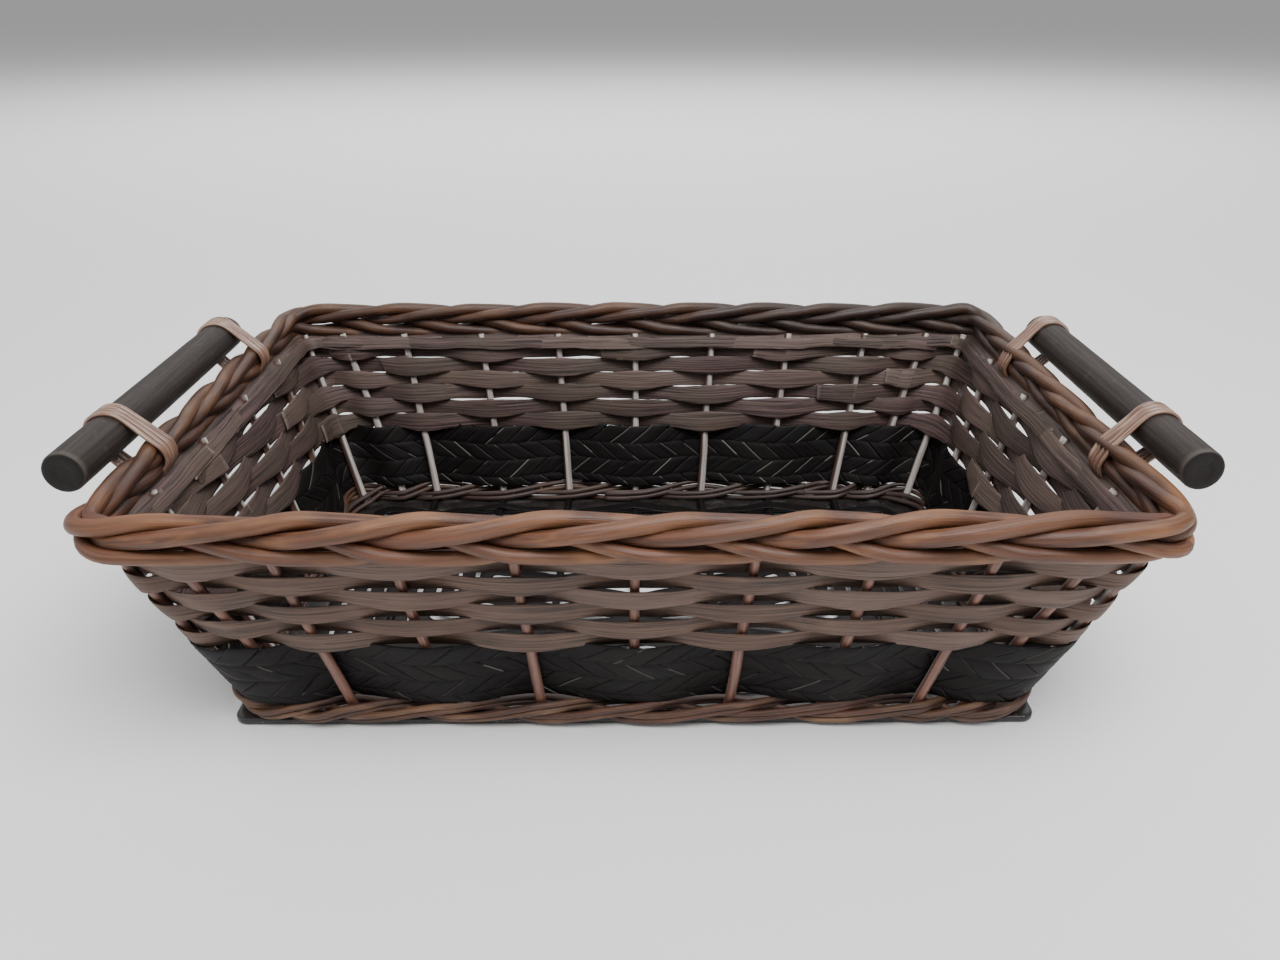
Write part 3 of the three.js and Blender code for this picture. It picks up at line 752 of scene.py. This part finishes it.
def make_band():
    low, high = node_box("plaited_band")
    bottom, top = low[2] - 2.6, high[2] + 1.3
    tall = top - bottom
    middle = (bottom + top) / 2
    numbers = np.linspace(0, COUNT, COUNT * 40 + 1)
    reach = STAKE_CLEAR + BAND_REACH
    line = wall(numbers, middle, band_out(numbers, reach))
    length = along_line(line)
    periods = round(length[-1] / (2 * tall * 1.25))
    pitch = length[-1] / periods / PLAIT_STRANDS
    rng = random.Random(5)
    piece = Piece()
    levels = np.linspace(0, 1, 44)
    half = pitch * 0.5 * 1.03
    section = round_section(10, 0.5)
    total = periods * PLAIT_STRANDS
    for family in (1, -1):
        for i in range(total):
            k = levels * PLAIT_STRANDS - PLAIT_STRANDS / 2  # crossing number, whole at each crossing
            over = family * cross_wave(k)
            run = (i + (PLAIT_STRANDS / 2) * (levels if family > 0 else 1 - levels)) * pitch
            jag = rng.uniform(-0.9, 0.9), rng.uniform(-0.9, 0.9)
            height = bottom + tall * levels
            height = height + jag[0] * (1 - smooth(0, 0.12, levels)) + jag[1] * smooth(0.88, 1, levels)
            edge_pinch = smooth(0, 0.08, levels) * smooth(0, 0.08, 1 - levels)
            out = over * BAND_THICK * 1.15 * (0.35 + 0.65 * edge_pinch) + rng.uniform(-0.08, 0.08)
            across = section[None, :, 0] * half * (0.97 + 0.04 * rng.random())
            through = section[None, :, 1] * BAND_THICK
            skew = rng.uniform(-0.5, 0.5) * (levels - 0.5)
            along = run[:, None] + across + skew[:, None]
            place = np.interp(np.mod(along, length[-1]), length, numbers)
            own_out = out[:, None] + through + 0 * along
            reach_out = band_out(place, reach)
            rings = wall(place, height[:, None] + 0 * along, reach_out + own_out)
            straight = np.stack(
                [
                    np.broadcast_to((levels * tall * 1.414)[:, None], along.shape),
                    across * 0.707 + 0 * along,
                    through + 0 * along,
                ],
                axis=-1,
            )
            shade = np.zeros(along.shape + (4,))
            shade[..., 0] = rng.random()
            # Painted highlight: the upper edge of some strands is painted pale.
            highlight_rim = (np.abs(section[:, 0]) > 0.93) & (section[:, 0] * family < 0)
            pale = rng.random() ** 3 * 0.9
            shade[..., 3] = highlight_rim[None, :] * pale * (ripple(rng, levels, 0.2, 1)[:, None] > -0.1)
            piece.skin(rings, straight, shade)
    piece.finish("plaited_band_splints", BLACK, "black_splint", "plaited_band")


def cross_wave(k):
    """1 where a splint passes over and -1 where it passes under, two crossings at a time."""
    return np.clip(np.sin(np.pi * (k + 0.5) / 2) * 2.2, -1, 1)


# ---------------------------------------------------------------- waled foot


def smooth_cycle(values, numbers):
    """A smooth curve through a repeating list of values, one to each whole number."""
    count = len(values)
    values = np.asarray(values, float)
    index = np.floor(numbers).astype(int)
    share = numbers - index
    a, b, c, d = (values[(index + shift) % count] for shift in (-1, 0, 1, 2))
    square = 2 * a - 5 * b + 4 * c - d
    cube = 3 * b - a - 3 * c + d
    return 0.5 * (2 * b + (c - a) * share + square * share**2 + cube * share**3)


def make_wale():
    names = node_names("foot_wale_rod_")
    low, high = node_box(*names)
    middle = (low[2] + high[2]) / 2 - WALE_DROP
    reach_out, reach_in = 2 * WALE_RADIUS + 0.2, 2 * WALE_RADIUS - 0.1
    rise = ((high[2] - low[2]) / 2 - WALE_RADIUS) * 0.8
    for rod_number, name in enumerate(names):
        rng = random.Random(40 + rod_number)
        piece = Piece()
        joins = sorted(rng.sample(range(COUNT), 5))
        for k, start in enumerate(joins):
            end = joins[(k + 1) % len(joins)]
            if end <= start:
                end += COUNT
            numbers = np.arange(start - 0.45, end + 0.55, 0.05)
            state = [(n + rod_number) % 3 for n in range(COUNT)]
            out = smooth_cycle([(-reach_in, reach_out, reach_out)[s] for s in state], numbers)
            lift = smooth_cycle([(0, rise, -rise)[s] for s in state], numbers)
            share = (numbers - numbers[0]) / (numbers[-1] - numbers[0])
            size = WALE_RADIUS * (0.66 - 0.1 * share) + ripple(rng, numbers, 0.6, 0.12)
            size *= 0.5 + 0.5 * smooth(0, 0.25, numbers[-1] - numbers)
            tucked = 1.6 * (1 - smooth(0, 0.5, numbers - numbers[0]))
            out = out + ripple(rng, numbers, 0.8, 0.35) - tucked
            lift = lift + ripple(rng, numbers, 0.9, 0.35)
            for half in (-1, 1):
                apart = half * (1.65 + ripple(rng, numbers, 0.7, 0.3))
                aside = half * ripple(rng, numbers, 0.9, 0.9)
                line = wall(numbers, middle + lift + apart, out + aside)
                # Painted shade where the rod passes inside the basket.
                painted_inside_shade = smooth(0.5, -2.5, out) * 0.9
                shade = strand_shade(len(numbers), rng.random())
                shade[:, 2] = painted_inside_shade
                rod(piece, line, (0, 0, 1), size, shade)
        piece.finish(name + "_willow", WALE, "stake_willow", name)


# ---------------------------------------------------------------- braided border


def plait_profile(count):
    """One strand of a plait, up and out, over as many crossings as there are strands. Every strand
    follows the same line, one crossing behind the last, so it's pushed clear of itself."""
    turn = 2 * np.pi * np.arange(count * PLAIT_STEPS) / (count * PLAIT_STEPS)
    turn = turn - 0.2 * np.cos(2 * turn)  # steeper on the outer face and longer on the inner one
    up = PLAIT_RISE * np.sin(turn)
    swing = np.clip(1.5 * np.sin(2 * turn + 0.25), -1, 1)
    out = PLAIT_DEPTH * swing + 0.2 * PLAIT_DEPTH * np.cos(turn)
    aim_up, aim_out = up.copy(), out.copy()
    for _ in range(400):
        push_up, push_out = np.zeros_like(up), np.zeros_like(out)
        for shift in range(1, count):
            gap_up = up - np.roll(up, -shift * PLAIT_STEPS)
            gap_out = out - np.roll(out, -shift * PLAIT_STEPS)
            gap = np.hypot(gap_up, gap_out) + 1e-6
            push = np.clip(2 * PLAIT_RADIUS * 1.03 - gap, 0, None) * 0.3
            push_up += push * gap_up / gap
            push_out += push * gap_out / gap
        up = up + push_up + 0.01 * (aim_up - up)
        out = out + push_out + 0.01 * (aim_out - out)
        for _ in range(2):
            up = 0.25 * np.roll(up, 1) + 0.5 * up + 0.25 * np.roll(up, -1)
            out = 0.25 * np.roll(out, 1) + 0.5 * out + 0.25 * np.roll(out, -1)
    return up, out


def nose_share(up, out, strands):
    """1 where a strand first shows on the outer face of the plait, fading to 0 along it."""
    covered = np.zeros(len(up), bool)
    for shift in range(1, strands):
        other_up, other_out = np.roll(up, shift * PLAIT_STEPS), np.roll(out, shift * PLAIT_STEPS)
        covered |= (np.abs(other_up - up) < 4.0) & (other_out > out + 1.0)
    share = np.zeros(len(up))
    level = 0.0
    # The strands run against their own numbers, so a nose fades towards lower ones.
    for k in list(range(len(up) - 1, -1, -1)) * 2:
        after = (k + 1) % len(up)
        level = 1.0 if covered[after] and not covered[k] else level * 0.93
        share[k] = 0.0 if covered[k] else level
    for _ in range(6):
        share = 0.25 * np.roll(share, 1) + 0.5 * share + 0.25 * np.roll(share, -1)
    return share


def make_border():
    names = node_names("border_rod_")
    low, high = node_box(*names)
    middle = (low[2] + high[2]) / 2
    points = np.concatenate([node_points(name) for name in names])
    front = points[(points[:, 1] < 0) & (np.abs(points[:, 0]) < 100)]
    half_depth = (front[:, 1].max() - front[:, 1].min()) / 2
    half_x, half_y = high[0] - half_depth, high[1] - half_depth
    line = rounded_line(half_x, half_y, BORDER_CORNER)
    total = line[2][-1]
    # One nose of the plait to a stake: those along the front where they lie, the rest evenly round.
    noses = [read_start(line, x, -half_y) for x in FRONT_NOSES]
    strands = len(names)
    up, out = plait_profile(strands)
    profile = np.arange(len(up)) / PLAIT_STEPS
    nose = nose_share(up, out, strands)
    rest = np.linspace(noses[-1], noses[0] + total, COUNT - len(noses) + 2)
    knuckles = np.array(noses + list(rest[1:]))
    steps = np.arange(0, COUNT, 1 / 18)
    places = np.interp(steps, np.arange(len(knuckles)), knuckles)
    for strand in range(strands):
        rng = random.Random(70 + strand)
        piece = Piece()
        # The strands advance against the stake numbers, so the arms open towards the right in front.
        phase = np.mod(-(steps + strand), strands)
        rise = np.interp(phase, np.append(profile, strands), np.append(up, up[0]))
        reach = np.interp(phase, np.append(profile, strands), np.append(out, out[0]))
        rise = rise + closed_ripple(rng, steps, COUNT, 41, 0.55)
        reach = reach + closed_ripple(rng, steps, COUNT, 41, 0.4)
        # How near a nose each step is: the strand swells there and gets a painted highlight.
        pale_highlight = np.interp(phase, np.append(profile, strands), np.append(nose, nose[0]))
        size = 3.5 + 0.35 * np.cos(2 * np.pi * (phase - 0.6) / strands) + 0.35 * pale_highlight
        size = size + closed_ripple(rng, steps, COUNT, 61, 0.22)
        point, away = read_line(line, places)
        compact = 1 - 0.28 * smooth(0.5, 1.0, np.abs(away[:, 0]))
        rise, reach = rise * compact, reach * compact
        path = point + away * reach[:, None]
        path[:, 2] = middle + rise
        shade = strand_shade(len(steps), np.mod(strand * 0.37, 1))
        # Painted highlight: each strand is painted paler where it first shows at a nose of the plait.
        shade[:, 1] = pale_highlight * 0.5
        rod(piece, path, away, size, shade, loop=True, section=round_section(14))
        piece.finish(f"border_strand_{strand + 1}", WILLOW, "border_willow", names[strand])


# ---------------------------------------------------------------- floor and base


def make_floor_sticks():
    for i, name in enumerate(node_names("floor_stick_")):
        rng = random.Random(200 + i)
        low, high = node_box(name)
        middle = (low + high) / 2
        places = np.linspace(low[1], high[1], 60)
        across = middle[0] + ripple(rng, places, 30, 0.5)
        line = np.stack([across, places, np.full(60, middle[2])], axis=1)
        piece = Piece()
        size = FLOOR_STICK_RADIUS + ripple(rng, places, 12, 0.08)
        rod(piece, line, (0, 0, 1), size, (rng.random(), 0, 0.9, 0))
        piece.finish(name + "_rod", FLOOR_BLACK, "black_splint", name)


def make_floor_weaver():
    low, high = node_box("floor_weaver")
    stick_boxes = [node_box(name) for name in node_names("floor_stick_")]
    sticks = sorted((box[0][0] + box[1][0]) / 2 for box in stick_boxes)
    stick_low, stick_high = node_box("floor_stick_1")
    middle = (stick_low[2] + stick_high[2]) / 2
    section = round_section(12, 0.6)
    piece = Piece()
    outer_x, outer_y = high[0] - FLOOR_WIDTH / 2, high[1] - FLOOR_WIDTH / 2
    turns = 1 + int((outer_y - FLOOR_MIDDLE_HALF) / FLOOR_PITCH)
    for turn in range(turns):
        rng = random.Random(300 + turn)
        half_x, half_y = outer_x - turn * FLOOR_PITCH, outer_y - turn * FLOOR_PITCH
        line = rounded_line(half_x, half_y, min(9.0, half_y - 0.5), 8)
        places = np.arange(0, line[2][-1], 2.5)
        point, away = read_line(line, places)
        side = np.where(point[:, 1] > 0, 1, -1) * (-1 if turn % 2 else 1)
        height = np.zeros(len(point))
        for k, stick in enumerate(sticks):
            near = np.exp(-(((point[:, 0] - stick) / FLOOR_DIP) ** 2))
            sign = (1 if k % 2 else -1) * side
            reach = FLOOR_STICK_RADIUS + FLOOR_THICK + 0.15
            # Too near its own corner, a turn can't dip, and lies over the stick.
            blocked = abs(stick) > half_x - FLOOR_DIP_ROOM
            height += near * reach * (1 if blocked else sign)
        last = places[-1]
        point[:, 2] = middle + height + closed_ripple(rng, places, last, 31, 0.3)
        point += away * closed_ripple(rng, places, last, 25, 0.5)[:, None]
        size = FLOOR_WIDTH / 2 * (0.92 + 0.04 * rng.random())
        size = size + closed_ripple(rng, places, last, 45, 0.35)
        twist = closed_ripple(rng, places, last, 35, 0.16)
        shade = strand_shade(len(point), rng.random())
        rod(piece, point, away, size, shade, True, section, FLOOR_THICK / size, twist)
    piece.finish("floor_weaver_splints", FLOOR_BLACK, "black_splint", "floor_weaver")


def make_base_frame():
    low, high = node_box("base_frame")
    height = high[2] - low[2]
    outer = rounded_line(high[0], high[1], BASE_CORNER, 12)
    inner = rounded_line(high[0] - BASE_BAND, high[1] - BASE_BAND, BASE_CORNER, 12)
    section = round_section(20, 0.35)
    rings = []
    for a, b in zip(outer[0][:-1], inner[0][:-1]):
        centre, half = (a + b) / 2, (a - b) / 2
        ring = centre[None, :] + half[None, :] * section[:, :1]
        ring[:, 2] = low[2] + height / 2 + section[:, 1] * height / 2
        rings.append(ring)
    rings = np.array(rings)
    piece = Piece()
    piece.skin(rings, rings, (0.3, 0, 0, 0), loop=True)
    piece.finish("base_frame_hoop", BASE, "base_wood", "base_frame")


# ---------------------------------------------------------------- handles and lashings


def make_handles():
    for side in ("left", "right"):
        name = "handle_" + side
        rng = random.Random(len(side))
        low, high = node_box(name)
        centre, radius = (low + high) / 2, (high[2] - low[2]) / 2
        profile = [(r / 10 * radius, low[1] + d) for r, d in HANDLE_END]
        profile += [(radius, y) for y in np.linspace(low[1] + 4, high[1] - 4, 60)]
        profile += [(r / 10 * radius, high[1] - d) for r, d in reversed(HANDLE_END)]
        profile[0] = (0.02, profile[0][1])
        profile[-1] = (0.02, profile[-1][1])
        angles = 2 * np.pi * np.arange(HANDLE_SIDES) / HANDLE_SIDES
        rings, straight, shade = [], [], []
        for k, (r, y) in enumerate(profile):
            wave = 1 + 0.004 * math.sin(y / 17.0) + 0.003 * math.sin(y / 5.3 + 1)
            x = centre[0] + r * wave * np.cos(angles)
            z = centre[2] + r * wave * np.sin(angles)
            along = np.full(HANDLE_SIDES, y)
            rings.append(np.stack([x, along, z], axis=1))
            straight.append(np.stack([along, r * np.cos(angles), r * np.sin(angles)], axis=1))
            end = min(k, len(profile) - 1 - k)
            disc = 1.0 if end < 3 else 0.0
            row = np.zeros((HANDLE_SIDES, 4))
            row[:, 0] = 0.2
            row[:, 1] = 0.12 * disc + (0.3 if end in (7, 8) else 0)
            row[:, 2] = 0.9 if end <= 6 else 0
            shade.append(row)
        piece = Piece()
        piece.skin(np.array(rings), np.array(straight), np.array(shade))
        piece.finish(name + "_dowel", HANDLE, "handle_wood", name)


def hull_line(circles, steps=72):
    """The line of a band pulled tight round several circles, as seen from the front."""
    points = []
    for x, z, radius in circles:
        for i in range(steps):
            angle = 2 * math.pi * i / steps
            points.append((x + radius * math.cos(angle), z + radius * math.sin(angle)))
    points = sorted(set(points))

    def half(ordered):
        chain = []
        for p in ordered:
            while len(chain) > 1:
                (ax, az), (bx, bz) = chain[-2], chain[-1]
                if (bx - ax) * (p[1] - az) - (bz - az) * (p[0] - ax) > 0:
                    break
                chain.pop()
            chain.append(p)
        return chain[:-1]

    ring = half(points) + half(points[::-1])
    return np.array(ring)


def make_lashings():
    names = node_names("border_rod_")
    low, high = node_box(*names)
    border_z = (low[2] + high[2]) / 2
    for side, sign in (("left", -1), ("right", 1)):
        handle_low, handle_high = node_box("handle_" + side)
        handle = (handle_low + handle_high) / 2
        handle_radius = (handle_high[2] - handle_low[2]) / 2
        border_x = sign * (high[0] - 8.0)
        for end in ("front", "back"):
            name = f"lashing_{side}_{end}"
            rng = random.Random(len(side) * 7 + len(end))
            box_low, box_high = node_box(name)
            middle_y = (box_low[1] + box_high[1]) / 2
            circles = [
                (handle[0], handle[2], handle_radius + 0.9),
                (border_x + 1.5, border_z + 2.0, 8.8),
                (border_x - 1.5, border_z - 3.5, 8.3),
            ]
            ring = hull_line(circles)
            ring = resample(ring, 90)
            piece = Piece()
            for turn in range(CANE_TURNS):
                lean = rng.uniform(-0.5, 0.5)
                offset = (turn - (CANE_TURNS - 1) / 2) * CANE_PITCH
                share = np.linspace(0, 1, len(ring), endpoint=False)
                spreading = 1 + 0.06 * np.cos(2 * np.pi * share + rng.random())
                y = middle_y + offset * spreading + lean * np.cos(2 * np.pi * share)
                y = y + 0.35 * np.sin(6 * np.pi * share + turn)
                line = np.stack([ring[:, 0], y, ring[:, 1]], axis=1)
                size = CANE_HALF + closed_ripple(rng, share, 1, 15, 0.1)
                shade = strand_shade(len(line), rng.random())
                rod(piece, line, (0, 1, 0), size, shade, loop=True, flat=0.75)
            piece.finish(name + "_cane", CANE, "cane", name)


def resample(ring, count):
    closed = np.concatenate([ring, ring[:1]])
    length = along_line(closed)
    at = np.linspace(0, length[-1], count, endpoint=False)
    return np.stack([np.interp(at, length, closed[:, k]) for k in range(2)], axis=1)


# ---------------------------------------------------------------- studio


def make_camera():
    pitch, yaw, roll = math.radians(26.5), math.radians(0.33), math.radians(0.02)
    level = math.cos(pitch)
    ahead = Vector((math.sin(yaw) * level, math.cos(yaw) * level, -math.sin(pitch)))
    flat_right = Vector((math.cos(yaw), -math.sin(yaw), 0))
    flat_up = flat_right.cross(ahead)
    right = math.cos(roll) * flat_right + math.sin(roll) * flat_up
    up = math.cos(roll) * flat_up - math.sin(roll) * flat_right
    data = bpy.data.cameras.new("camera")
    data.sensor_width = 36.0
    data.lens = 1000.0 / 1280.0 * 36.0
    camera = bpy.data.objects.new("camera", data)
    bpy.context.scene.collection.objects.link(camera)
    matrix = camera.matrix_world.copy()
    for row in range(3):
        matrix[row][0], matrix[row][1], matrix[row][2] = right[row], up[row], -ahead[row]
    matrix[0][3], matrix[1][3], matrix[2][3] = 0.0, -0.525, 0.340
    camera.matrix_world = matrix
    bpy.context.scene.camera = camera


def make_floor():
    mesh = bpy.data.meshes.new("floor")
    size = 30.0
    corners = [(-size, -size, 0), (size, -size, 0), (size, size, 0), (-size, size, 0)]
    mesh.from_pydata(corners, [], [(0, 1, 2, 3)])
    finish = Finish("pale_floor", Roughness=0.9, Base_Color=(0.93, 0.93, 0.93, 1))
    mesh.materials.append(finish.material)
    floor = bpy.data.objects.new("floor", mesh)
    bpy.context.scene.collection.objects.link(floor)


def make_light(name, place, target, size, power):
    data = bpy.data.lights.new(name, "AREA")
    data.shape = "RECTANGLE"
    data.size, data.size_y = size
    data.energy = power
    light = bpy.data.objects.new(name, data)
    light.location = place
    direction = Vector(target) - Vector(place)
    light.rotation_euler = direction.to_track_quat("-Z", "Y").to_euler()
    bpy.context.scene.collection.objects.link(light)


def make_studio():
    make_floor()
    world = bpy.data.worlds.new("studio")
    world.use_nodes = True
    background = world.node_tree.nodes["Background"]
    background.inputs["Color"].default_value = (1, 1, 1, 1)
    background.inputs["Strength"].default_value = 0.38
    bpy.context.scene.world = world
    make_light("key", (0.35, -0.6, 1.5), (0, 0, 0.05), (1.2, 0.9), 34)
    make_light("fill", (-1.3, -0.5, 0.9), (0, 0, 0.05), (1.2, 1.2), 6)
    make_light("back", (0, 2.2, 1.6), (0, 2.4, 0), (4.0, 2.0), 70)


make_camera()
make_studio()
make_stakes()
make_rows()
make_band()
make_wale()
make_border()
make_floor_sticks()
make_floor_weaver()
make_base_frame()
make_handles()
make_lashings()
